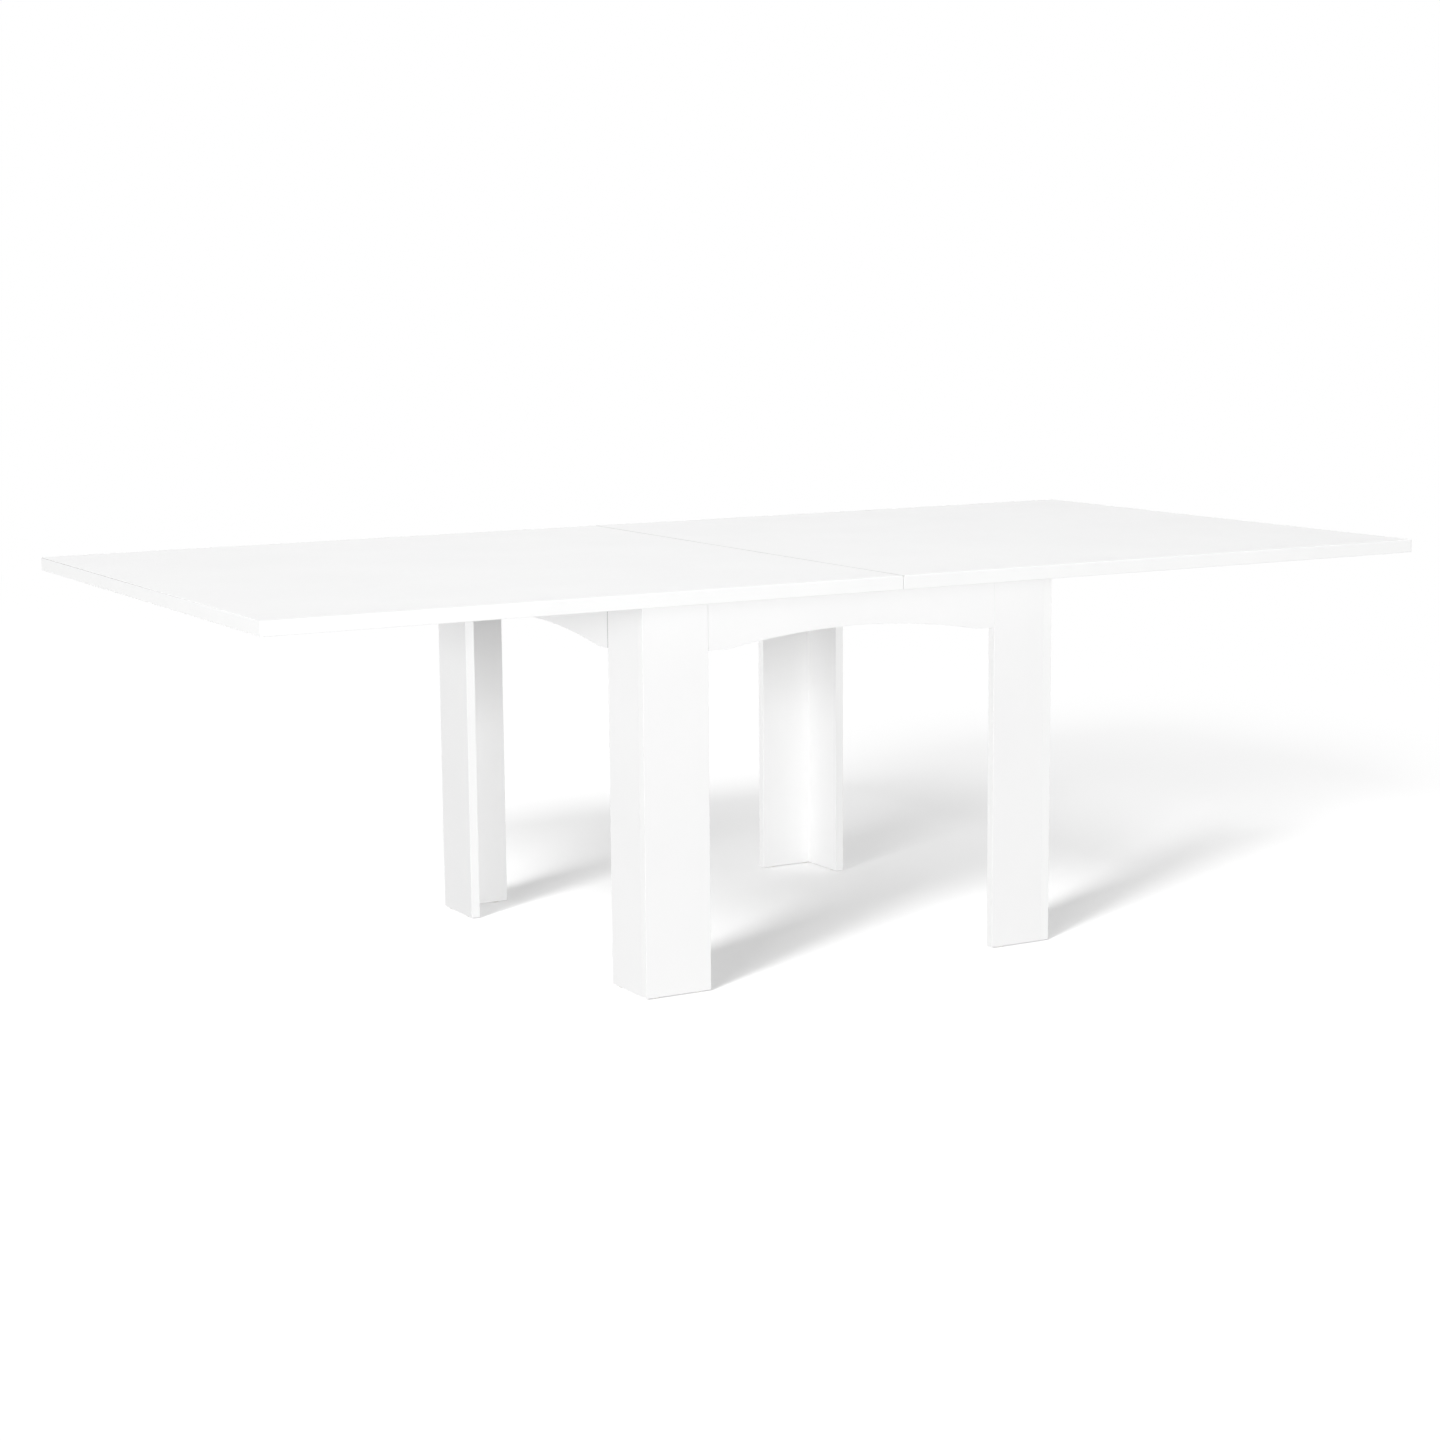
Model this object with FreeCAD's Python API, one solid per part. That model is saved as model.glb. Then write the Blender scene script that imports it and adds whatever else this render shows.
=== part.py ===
import FreeCAD, Part
import math
import os

# A fold-over dining table, shown open: two square leaves lie side by side on a square base.
# The top swivels on an off-centre pivot, and the right leaf folds over the left one.
# Millimetres. The origin is on the floor under the middle of the open top, X runs along the
# open top, Y from the front to the back, and Z up.

Vec = FreeCAD.Vector
UP = Vec(0, 0, 1)
DOWN = Vec(0, 0, -1)
RIGHT = Vec(1, 0, 0)
BACK = Vec(0, 1, 0)

# Leaves
top_height = 750.0
leaf_side = 1200.0
leaf_thickness = 25.0
seam_gap = 0.8
leaf_band = 2.0
leaf_corner_radius = 5.0
seam_corner_radius = 1.0
leaf_edge_round = 1.2

# Base of four L-shaped legs and four arched aprons
base_side = 880.0
panel_thickness = 18.0
leg_width = 132.0
edge_band = 1.0
edge_band_round = 0.6
apron_depth = 104.0
arch_rise = 25.0
arch_flat = 30.0
arch_ogee_radius = 100.0
joint_gap = 0.25

# Felt strips that the leaves rest and slide on
felt_thickness = 1.5
felt_width = 12.0
felt_setback = 20.0

# Glides under the legs
glide_height = 3.0
glide_radius = 7.5
glide_round = 1.0
glide_pin_radius = 2.0
glide_pin_length = 12.0
glide_inset = 24.0

# Wooden dowels
dowel_radius = 4.0
leg_dowel_length = 32.0
leg_dowel_in_face = 10.0
leg_dowel_count = 4
leg_dowel_inset = 60.0
apron_dowel_length = 40.0
apron_dowel_low = 16.0
apron_dowel_high = 18.0

# Pan-head wood screws
screw_radius = 2.0
screw_length = 15.0
screw_head_radius = 4.0
screw_crown_radius = 2.8
screw_head_height = 2.4
screw_recess_width = 1.2
screw_recess_length = 4.4
screw_recess_depth = 1.4
snug_fit = 0.05

# Steel plates across the joints of legs and aprons
plate_length = 90.0
plate_thickness = 2.5
plate_margin = 4.0
plate_corner_radius = 5.0
plate_screw_inset = 12.0

# Rails between the left and right sides, and their angle brackets
rail_thickness = 22.0
pivot_rail_reach = 80.0
support_rail_width = 120.0
support_rail_setback = 170.0
bracket_leg = 26.0
bracket_width = 30.0
bracket_thickness = 2.5
bracket_inset = 22.0
bracket_screw_pitch = 16.0

# Swivel: plate and bolt under the left leaf, bush in the pivot rail
swivel_plate_side = 120.0
swivel_plate_thickness = 4.0
swivel_plate_corner_radius = 8.0
swivel_screw_inset = 13.0
swivel_screw_radius = 2.5
swivel_screw_head_radius = 5.0
swivel_screw_head_height = 2.5
swivel_screw_length = 20.0
bolt_radius = 6.0
bolt_head_radius = 11.0
bolt_head_height = 6.0
bolt_head_room = 0.5
bolt_tail = 3.0
bolt_end_chamfer = 1.0
bush_wall = 2.5
bush_flange_radius = 17.0
bush_flange_thickness = 2.0
running_fit = 0.08
washer_radius = 14.0
washer_thickness = 2.5
nut_across_flats = 19.0
nut_height = 10.0

# Stop stud of the swivel and its slot in the pivot rail
stop_arm = 46.0
stop_radius = 5.0
stop_engagement = 14.0
stop_slot_room = 0.5
swivel_angle = 90.0

# Concealed arc hinges along the seam
hinge_count = 3
hinge_end_inset = 150.0
barrel_radius = 9.0
barrel_depth = 24.0
barrel_below_top = 11.0
fold_clearance = 0.6
link_inner_radius = 13.0
link_outer_radius = 17.0
link_width = 3.0
link_side_room = 0.1
link_arc_room = 0.3
link_tip_angle = 15.0
link_span_angle = 126.0

# Levels
leaf_bottom = top_height - leaf_thickness
base_top = leaf_bottom - felt_thickness
apron_bottom = base_top - apron_depth
fold_axis_height = top_height + fold_clearance / 2

# Plan of the base
half_base = base_side / 2
inner_face = half_base - panel_thickness
leg_edge = half_base - leg_width
apron_end = leg_edge - joint_gap
panel_middle = half_base - panel_thickness / 2

# Swivel centre: a quarter turn about it brings the left leaf over the middle of the base
pivot = Vec(-leaf_side / 4, leaf_side / 4, 0)
swivel_plate_bottom = leaf_bottom - swivel_plate_thickness
pivot_rail_top = swivel_plate_bottom - bush_flange_thickness
pivot_rail_bottom = pivot_rail_top - rail_thickness
pivot_rail_front = pivot.y - pivot_rail_reach
pivot_rail_back = inner_face - joint_gap
support_rail_bottom = base_top - rail_thickness
support_rail_front = -half_base + support_rail_setback
support_rail_back = support_rail_front + support_rail_width
bracket_foot = pivot_rail_bottom - bracket_leg

# Joint plates fill the height between the apron's lower edge and the brackets
plate_bottom = apron_bottom + plate_margin
plate_top = bracket_foot - plate_margin

QUARTERS = range(4)
ENDS = (-1, 1)
SAME_PLACE = 1e-6


def box(x0, x1, y0, y1, z0, z1):
    """A block between two corners."""
    return Part.makeBox(x1 - x0, y1 - y0, z1 - z0, Vec(x0, y0, z0))


def rod(radius, start, direction, length):
    """A round bar from a start point."""
    return Part.makeCylinder(radius, length, start, direction)


def turned(shape, turns):
    """A copy of a shape, turned by quarter turns about the vertical axis."""
    copy = shape.copy()
    copy.rotate(Vec(), UP, 90.0 * turns)
    return copy


def all_round(shapes):
    """The shapes of one quarter of the base, repeated for all four."""
    return [turned(shape, turns) for turns in QUARTERS for shape in shapes]


def placed(shape, point, direction):
    """A copy of a shape made along -Z from the origin, set at a point along a direction."""
    copy = shape.copy()
    copy.Placement = FreeCAD.Placement(point, FreeCAD.Rotation(DOWN, direction))
    return copy


def drill(solid, tools):
    """Cut from a solid each tool that reaches it."""
    reaching = [tool for tool in tools if solid.BoundBox.intersect(tool.BoundBox)]
    if not reaching:
        return solid
    return solid.cut(reaching).Solids[0]


def edges_along(solid, axis, test):
    """The straight edges of a solid along an axis whose middle passes a test."""
    found = []
    for edge in solid.Edges:
        ends = edge.Vertexes
        if len(ends) != 2:
            continue
        run = ends[1].Point - ends[0].Point
        if run.cross(axis).Length < SAME_PLACE and test(edge.CenterOfMass):
            found.append(edge)
    return found


def outline_edges(solid, levels):
    """The edges of a solid that lie in one of some horizontal planes."""
    found = []
    for edge in solid.Edges:
        reach = edge.BoundBox
        if reach.ZLength < SAME_PLACE and any(abs(reach.ZMin - level) < SAME_PLACE for level in levels):
            found.append(edge)
    return found


def rounded_plate(x0, x1, y0, y1, z0, z1, radius, axis):
    """A block with its four edges along one axis rounded."""
    plate = box(x0, x1, y0, y1, z0, z1)
    return plate.makeFillet(radius, edges_along(plate, axis, lambda middle: True))


def save(name, solids):
    """Write one node as a STEP file of separate solids."""
    shape = solids[0] if len(solids) == 1 else Part.makeCompound(solids)
    shape.exportStep(f"parts/{name}.step")
    print(name, len(solids))


def pan_screw():
    """A pan-head screw along -Z, with the underside of its head at the origin."""
    shank = rod(screw_radius, Vec(), DOWN, screw_length)
    head = Part.makeCone(screw_head_radius, screw_crown_radius, screw_head_height)
    screw = shank.fuse(head).removeSplitter()
    half_width = screw_recess_width / 2
    half_length = screw_recess_length / 2
    floor = screw_head_height - screw_recess_depth
    slot = box(-half_length, half_length, -half_width, half_width, floor, screw_head_height)
    return screw.cut([slot, turned(slot, 1)]).Solids[0]


def screw_hole():
    """The room that a pan-head screw's shank takes up."""
    return rod(screw_radius + snug_fit, UP * snug_fit, DOWN, screw_length + 2 * snug_fit)


def dowel_set(points, direction, length):
    """Dowels that start at some points, and the holes that hold them."""
    dowels = [rod(dowel_radius, point, direction, length) for point in points]
    back = direction * -snug_fit
    room = length + 2 * snug_fit
    holes = [rod(dowel_radius + snug_fit, point + back, direction, room) for point in points]
    return dowels, holes


# Legs and aprons are drawn at the front left corner and the front, and turned to the other sides.

def leg_joint():
    """Dowels between the two panels of a leg, with their holes."""
    step = (base_top - 2 * leg_dowel_inset) / (leg_dowel_count - 1)
    heights = [leg_dowel_inset + step * index for index in range(leg_dowel_count)]
    start_y = -inner_face - leg_dowel_in_face
    points = [Vec(-panel_middle, start_y, height) for height in heights]
    return dowel_set(points, BACK, leg_dowel_length)


def apron_joint(end):
    """Dowels, plate and screws where the front apron meets a leg, with the holes they need."""
    heights = (apron_bottom + apron_dowel_low, base_top - apron_dowel_high)
    start_x = end * leg_edge - apron_dowel_length / 2
    points = [Vec(start_x, -panel_middle, height) for height in heights]
    dowels, holes = dowel_set(points, RIGHT, apron_dowel_length)

    middle = end * leg_edge
    reach = plate_length / 2
    back_face = -inner_face + plate_thickness
    plate = rounded_plate(middle - reach, middle + reach, -inner_face, back_face,
                          plate_bottom, plate_top, plate_corner_radius, BACK)
    screws = []
    for offset in (plate_screw_inset - reach, reach - plate_screw_inset):
        for height in (plate_bottom + plate_screw_inset, plate_top - plate_screw_inset):
            seat = Vec(middle + offset, back_face, height)
            screws.append(placed(pan_screw(), seat, BACK * -1))
            holes.append(placed(screw_hole(), seat, BACK * -1))
    return {"dowels": dowels, "plates": [drill(plate, holes)], "screws": screws, "holes": holes}


def glide():
    """A nail-on glide that stands on the floor, with its pin up."""
    pad = rod(glide_radius, Vec(), UP, glide_height)
    rims = outline_edges(pad, [0.0])
    pad = pad.makeFillet(glide_round, rims)
    return pad.fuse(rod(glide_pin_radius, UP * glide_height, UP, glide_pin_length))


def glide_places():
    """The places of the glides of the front left leg."""
    near = -half_base + glide_inset
    far = -leg_edge - glide_inset
    return [Vec(near, -panel_middle, 0), Vec(far, -panel_middle, 0), Vec(-panel_middle, far, 0)]


def leg_glides():
    """The glides of the front left leg, and the holes of their pins."""
    glides = []
    holes = []
    for place in glide_places():
        one = glide()
        one.translate(place)
        glides.append(one)
        seat = place + UP * glide_height
        holes.append(rod(glide_pin_radius + snug_fit, seat, UP, glide_pin_length + snug_fit))
    return glides, holes


def leg_panels():
    """The wide front panel and the narrow side panel of the front left leg."""
    wide = box(-half_base + edge_band, -leg_edge - edge_band, -half_base, -inner_face, glide_height, base_top)
    narrow = box(-half_base, -inner_face, -inner_face, -leg_edge - edge_band, glide_height, base_top)
    return wide, narrow


def leg_bands():
    """The edge bands of the front left leg: both edges of the wide panel, one of the narrow one."""
    corner = box(-half_base, -half_base + edge_band, -half_base, -inner_face, glide_height, base_top)
    wide = box(-leg_edge - edge_band, -leg_edge, -half_base, -inner_face, glide_height, base_top)
    narrow = box(-half_base, -inner_face, -leg_edge - edge_band, -leg_edge, glide_height, base_top)
    rounds = (
        (corner, lambda middle: middle.x < -half_base + SAME_PLACE),
        (wide, lambda middle: middle.x > -leg_edge - SAME_PLACE),
        (narrow, lambda middle: middle.y > -leg_edge - SAME_PLACE),
    )
    return [band.makeFillet(edge_band_round, edges_along(band, UP, test)) for band, test in rounds]


def arch_path(lift):
    """The edges of the apron's lower outline, lifted inwards by the edge band or not at all."""
    arch_half = leg_edge - arch_flat
    turn = 2 * math.atan2(arch_rise, arch_half)
    crown_radius = arch_half / math.sin(turn) - arch_ogee_radius
    ogee = arch_ogee_radius - lift
    crown = crown_radius + lift
    ogee_height = apron_bottom + arch_ogee_radius
    crown_height = apron_bottom + arch_rise - crown_radius

    def at(x, z):
        return Vec(x, -half_base, z)

    def on_ogee(side, angle):
        return at(side * (arch_half - ogee * math.sin(angle)), ogee_height - ogee * math.cos(angle))

    flat_z = apron_bottom + lift
    top = at(0, crown_height + crown)
    left_bend = on_ogee(-1, turn)
    right_bend = on_ogee(1, turn)
    return [
        Part.LineSegment(at(-apron_end, flat_z), on_ogee(-1, 0)).toShape(),
        Part.Arc(on_ogee(-1, 0), on_ogee(-1, turn / 2), left_bend).toShape(),
        Part.Arc(left_bend, top, right_bend).toShape(),
        Part.Arc(right_bend, on_ogee(1, turn / 2), on_ogee(1, 0)).toShape(),
        Part.LineSegment(on_ogee(1, 0), at(apron_end, flat_z)).toShape(),
    ]


def outline_solid(lower, upper):
    """A board through the panel thickness between two outlines that run from left to right."""
    low_start = lower[0].Vertexes[0].Point
    low_end = lower[-1].Vertexes[-1].Point
    high_start = upper[0].Vertexes[0].Point
    high_end = upper[-1].Vertexes[-1].Point
    sides = [Part.LineSegment(low_end, high_end).toShape(), Part.LineSegment(high_start, low_start).toShape()]
    wire = Part.Wire(Part.__sortEdges__(lower + upper + sides))
    return Part.Face(wire).extrude(BACK * panel_thickness)


def front_apron():
    """The front apron's board and the edge band under its arch."""
    top_left = Vec(-apron_end, -half_base, base_top)
    top_right = Vec(apron_end, -half_base, base_top)
    board = outline_solid(arch_path(edge_band), [Part.LineSegment(top_left, top_right).toShape()])
    band = outline_solid(arch_path(0.0), arch_path(edge_band))
    return board, band


def apron_felt():
    """The felt strip along the top of the front apron."""
    end = apron_end - felt_setback
    side = felt_width / 2
    return box(-end, end, -panel_middle - side, -panel_middle + side, base_top, leaf_bottom)


def rail(front, back, bottom):
    """A rail from the left side of the base to the right, between two places across the table."""
    end = inner_face - joint_gap
    return box(-end, end, front, back, bottom, bottom + rail_thickness)


def rail_bracket(end, y, rail_bottom):
    """An angle bracket under one end of a rail, with its screws and their holes."""
    wall = end * inner_face
    toe = end * (inner_face - bracket_leg)
    skin = end * (inner_face - bracket_thickness)
    side = bracket_width / 2
    upright = box(min(wall, skin), max(wall, skin), y - side, y + side, rail_bottom - bracket_leg, rail_bottom)
    flat = box(min(wall, toe), max(wall, toe), y - side, y + side, rail_bottom - bracket_thickness, rail_bottom)
    bracket = upright.fuse(flat).removeSplitter()
    screw_reach = bracket_leg - screw_head_radius - bracket_thickness
    screws = []
    holes = []
    for offset in (-bracket_screw_pitch / 2, bracket_screw_pitch / 2):
        in_side = Vec(skin, y + offset, rail_bottom - screw_reach)
        in_rail = Vec(end * (inner_face - screw_reach), y + offset, rail_bottom - bracket_thickness)
        for seat, direction in ((in_side, RIGHT * end), (in_rail, UP)):
            screws.append(placed(pan_screw(), seat, direction))
            holes.append(placed(screw_hole(), seat, direction))
    return drill(bracket, holes), screws, holes


def rail_fixings():
    """All brackets, screws and screw holes of the two rails."""
    brackets = []
    screws = []
    holes = []
    rails = (
        (pivot_rail_front, pivot_rail_back, pivot_rail_bottom),
        (support_rail_front, support_rail_back, support_rail_bottom),
    )
    for front, back, bottom in rails:
        for place in (front + bracket_inset, back - bracket_inset):
            for end in ENDS:
                bracket, own_screws, own_holes = rail_bracket(end, place, bottom)
                brackets.append(bracket)
                screws += own_screws
                holes += own_holes
    return brackets, screws, holes


def ring_sector(inner, outer, start, end, depth):
    """A flat arc between two radii and two angles in degrees, in the plane of X and Z, made along Y."""
    def at(radius, angle):
        turn = math.radians(angle)
        return Vec(radius * math.cos(turn), 0, radius * math.sin(turn))

    middle = (start + end) / 2
    edges = [
        Part.Arc(at(outer, start), at(outer, middle), at(outer, end)).toShape(),
        Part.LineSegment(at(outer, end), at(inner, end)).toShape(),
        Part.Arc(at(inner, end), at(inner, middle), at(inner, start)).toShape(),
        Part.LineSegment(at(inner, start), at(outer, start)).toShape(),
    ]
    return Part.Face(Part.Wire(edges)).extrude(BACK * depth)


def hinge_places():
    """The hinges' places along the seam."""
    first = -leaf_side / 2 + hinge_end_inset
    step = (leaf_side - 2 * hinge_end_inset) / (hinge_count - 1)
    return [first + step * index for index in range(hinge_count)]


def hinge_bore(y, radius, depth):
    """A round bar into the right leaf's seam face at one hinge."""
    return rod(radius, Vec(seam_gap / 2, y, top_height - barrel_below_top), RIGHT, depth)


def hinge_barrel(y):
    """The right half of one hinge: a barrel with the curved slot that both links run in."""
    half_slot = link_side_room / 2 + link_width + link_side_room
    tip = 360.0 - link_tip_angle + math.degrees(link_arc_room / link_inner_radius)
    slot = ring_sector(link_inner_radius - link_arc_room, link_outer_radius + link_arc_room,
                       270.0 - link_tip_angle, tip, 2 * half_slot)
    slot.translate(Vec(0, y - half_slot, fold_axis_height))
    return hinge_bore(y, barrel_radius - snug_fit, barrel_depth).cut(slot).Solids[0]


def hinge_links(start, low_y):
    """One curved link in each hinge, from a start angle at rest, on one side of the hinge's middle."""
    links = []
    for y in hinge_places():
        link = ring_sector(link_inner_radius, link_outer_radius, start, start + link_span_angle, link_width)
        link.translate(Vec(0, y + low_y, fold_axis_height))
        links.append(link)
    return links


def leaf_block(x0, x1, half_y, far_radius, seam_radius):
    """A right leaf's block with its upright corners rounded."""
    block = box(x0, x1, -half_y, half_y, leaf_bottom, top_height)
    for radius, x in ((far_radius, x1), (seam_radius, x0)):
        if radius > 0:
            corners = edges_along(block, UP, lambda middle: abs(middle.x - x) < SAME_PLACE)
            block = block.makeFillet(radius, corners)
    return block


def right_leaf():
    """The right leaf's board and the strips of edging round it, bored for the hinges."""
    block = leaf_block(seam_gap / 2, leaf_side, leaf_side / 2, leaf_corner_radius, seam_corner_radius)
    block = block.makeFillet(leaf_edge_round, outline_edges(block, (leaf_bottom, top_height)))
    board = leaf_block(seam_gap / 2 + leaf_band, leaf_side - leaf_band, leaf_side / 2 - leaf_band,
                       leaf_corner_radius - leaf_band, seam_corner_radius - leaf_band)
    ring = block.cut(board)
    long_edge = leaf_side / 2 - leaf_band
    middle = box(0, leaf_side, -long_edge, long_edge, leaf_bottom, top_height)
    strips = ring.cut(middle).Solids + ring.common(middle).Solids
    bores = [hinge_bore(y, barrel_radius, barrel_depth + snug_fit) for y in hinge_places()]
    return drill(board, bores), [drill(strip, bores) for strip in strips]


def countersunk_screw(room):
    """A countersunk screw along -Z with its flat head at the origin, or the room that it takes up."""
    shank = rod(swivel_screw_radius + room, Vec(), DOWN, swivel_screw_length + room)
    cone = Part.makeCone(swivel_screw_head_radius + room, swivel_screw_radius + room,
                         swivel_screw_head_height, Vec(), DOWN)
    return shank.fuse(cone).removeSplitter()


def swivel_screw_seats():
    """The places of the swivel plate's screws, on its lower face."""
    reach = swivel_plate_side / 2 - swivel_screw_inset
    return [pivot + Vec(x * reach, y * reach, swivel_plate_bottom) for x in ENDS for y in ENDS]


def swivel_bolt():
    """The bolt that hangs from the left leaf: a flat head above the plate and a shank through the rail."""
    length = leaf_bottom - pivot_rail_bottom + washer_thickness + nut_height + bolt_tail
    head = rod(bolt_head_radius, pivot + UP * leaf_bottom, UP, bolt_head_height)
    shank = rod(bolt_radius, pivot + UP * leaf_bottom, DOWN, length)
    shank = shank.makeChamfer(bolt_end_chamfer, outline_edges(shank, [leaf_bottom - length]))
    return head.fuse(shank).removeSplitter()


def swivel_bush():
    """A flanged bush in the pivot rail, for the bolt to turn in."""
    bore = bolt_radius + running_fit
    sleeve = rod(bore + bush_wall, pivot + UP * pivot_rail_bottom, UP, rail_thickness)
    flange = rod(bush_flange_radius, pivot + UP * pivot_rail_top, UP, bush_flange_thickness)
    hole = rod(bore, pivot + UP * pivot_rail_bottom, UP, rail_thickness + bush_flange_thickness)
    return sleeve.fuse(flange).removeSplitter().cut(hole).Solids[0]


def swivel_nut(top):
    """A hexagon nut on the bolt, under the washer, with its corners chamfered down to the flats."""
    corner = nut_across_flats / math.sqrt(3)
    angles = [math.radians(60 * index) for index in range(7)]
    points = [pivot + Vec(corner * math.cos(a), corner * math.sin(a), top) for a in angles]
    block = Part.Face(Part.makePolygon(points)).extrude(DOWN * nut_height)
    round_bar = rod(corner, pivot + UP * top, DOWN, nut_height)
    ends = outline_edges(round_bar, (top, top - nut_height))
    round_bar = round_bar.makeChamfer(corner - nut_across_flats / 2, ends)
    hole = rod(bolt_radius + snug_fit, pivot + UP * top, DOWN, nut_height)
    return block.common(round_bar).cut(hole).Solids[0]


def stop_slot():
    """The curved slot in the pivot rail that lets the stop stud swing a quarter turn."""
    half_width = stop_radius + stop_slot_room
    bottom = pivot_rail_bottom
    inner = rod(stop_arm - half_width, pivot + UP * bottom, UP, rail_thickness)
    ring = Part.makeCylinder(stop_arm + half_width, rail_thickness, pivot + UP * bottom, UP, swivel_angle)
    ends = []
    for angle in (0.0, swivel_angle):
        turn = math.radians(angle)
        centre = pivot + Vec(stop_arm * math.cos(turn), stop_arm * math.sin(turn), bottom)
        ends.append(rod(half_width, centre, UP, rail_thickness))
    return ring.cut(inner).fuse(ends).removeSplitter()


def build_base():
    """Legs, aprons, rails and what joins them."""
    leg_dowels, leg_holes = leg_joint()
    glides, glide_holes = leg_glides()
    joints = [apron_joint(end) for end in ENDS]
    quarter_holes = leg_holes + glide_holes + joints[0]["holes"] + joints[1]["holes"]
    brackets, rail_screws, rail_holes = rail_fixings()
    holes = all_round(quarter_holes) + rail_holes

    wide, narrow = leg_panels()
    board, band = front_apron()
    corners = ("front_left", "front_right", "back_right", "back_left")
    sides = ("front", "right", "back", "left")
    for turns in QUARTERS:
        save(f"{corners[turns]}_leg_wide_panel", [drill(turned(wide, turns), holes)])
        save(f"{corners[turns]}_leg_narrow_panel", [drill(turned(narrow, turns), holes)])
        save(f"{sides[turns]}_apron", [drill(turned(board, turns), holes)])
    save("leg_edge_bands", [drill(strip, holes) for strip in all_round(leg_bands())])
    save("apron_edge_bands", all_round([band]))
    save("leg_dowels", all_round(leg_dowels))
    save("apron_dowels", all_round(joints[0]["dowels"] + joints[1]["dowels"]))
    save("joint_plates", all_round(joints[0]["plates"] + joints[1]["plates"]))
    save("joint_plate_screws", all_round(joints[0]["screws"] + joints[1]["screws"]))
    save("leg_glides", all_round(glides))

    bush = swivel_bush()
    bush_seat = rod(bolt_radius + running_fit + bush_wall + snug_fit,
                    pivot + UP * pivot_rail_bottom, UP, rail_thickness)
    pivot_rail = rail(pivot_rail_front, pivot_rail_back, pivot_rail_bottom)
    support_rail = rail(support_rail_front, support_rail_back, support_rail_bottom)
    save("pivot_rail", [drill(pivot_rail, rail_holes + [bush_seat, stop_slot()])])
    save("support_rail", [drill(support_rail, rail_holes)])
    save("rail_brackets", brackets)
    save("rail_bracket_screws", rail_screws)
    save("pivot_bush", [bush])

    felt_end = inner_face - felt_setback
    rail_middle = (support_rail_front + support_rail_back) / 2
    side = felt_width / 2
    rail_felt = box(-felt_end, felt_end, rail_middle - side, rail_middle + side, base_top, leaf_bottom)
    save("glide_felts", all_round([apron_felt()]) + [rail_felt])


def build_leaves():
    """Both leaves, their hinges, and the swivel fittings under the left leaf."""
    board, edging = right_leaf()
    barrels = [hinge_barrel(y) for y in hinge_places()]
    save("right_leaf_board", [board])
    save("right_leaf_edging", edging)
    save("right_hinge_barrels", barrels)
    save("left_leaf_edging", [turned(strip, 2) for strip in edging])
    save("left_hinge_barrels", [turned(barrel, 2) for barrel in barrels])

    middle_room = link_side_room / 2
    save("left_hinge_links", hinge_links(180.0 + link_tip_angle, -middle_room - link_width))
    save("right_hinge_links", hinge_links(360.0 - link_tip_angle - link_span_angle, middle_room))

    seats = swivel_screw_seats()
    screw_rooms = [placed(countersunk_screw(snug_fit), seat, UP) for seat in seats]
    head_pocket = rod(bolt_head_radius + bolt_head_room, pivot + UP * leaf_bottom, UP,
                      bolt_head_height + bolt_head_room)
    save("left_leaf_board", [drill(turned(board, 2), screw_rooms + [head_pocket])])

    reach = swivel_plate_side / 2
    plate = rounded_plate(pivot.x - reach, pivot.x + reach, pivot.y - reach, pivot.y + reach,
                          swivel_plate_bottom, leaf_bottom, swivel_plate_corner_radius, UP)
    stud_foot = pivot + Vec(stop_arm, 0, pivot_rail_top - stop_engagement)
    stud_length = leaf_bottom - stud_foot.z
    stud_hole = rod(stop_radius + snug_fit, stud_foot, UP, stud_length)
    bolt_hole = rod(bolt_radius + snug_fit, pivot + UP * swivel_plate_bottom, UP, swivel_plate_thickness)
    save("swivel_plate", [drill(plate, screw_rooms + [stud_hole, bolt_hole])])
    save("swivel_plate_screws", [placed(countersunk_screw(0.0), seat, UP) for seat in seats])
    save("swivel_bolt", [swivel_bolt()])
    save("stop_stud", [rod(stop_radius, stud_foot, UP, stud_length)])

    washer = rod(washer_radius, pivot + UP * pivot_rail_bottom, DOWN, washer_thickness)
    washer_hole = rod(bolt_radius + snug_fit, pivot + UP * pivot_rail_bottom, DOWN, washer_thickness)
    save("swivel_washer", [drill(washer, [washer_hole])])
    save("swivel_nut", [swivel_nut(pivot_rail_bottom - washer_thickness)])


os.makedirs("parts", exist_ok=True)
build_base()
build_leaves()
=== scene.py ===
"""Looks of a white fold-over dining table: its finishes, small fittings, studio light and camera.

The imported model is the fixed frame. Its boards, bands and fittings keep their own meshes and get
procedural finishes. Screws, dowels and glides are turned by Geometry Nodes at the places that the
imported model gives, and the felt strips are rebuilt as pressed felt.
"""

import logging
import math
from dataclasses import dataclass
from enum import Enum
from functools import cache

import bmesh
import bpy
from mathutils import Matrix, Vector, noise


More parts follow.
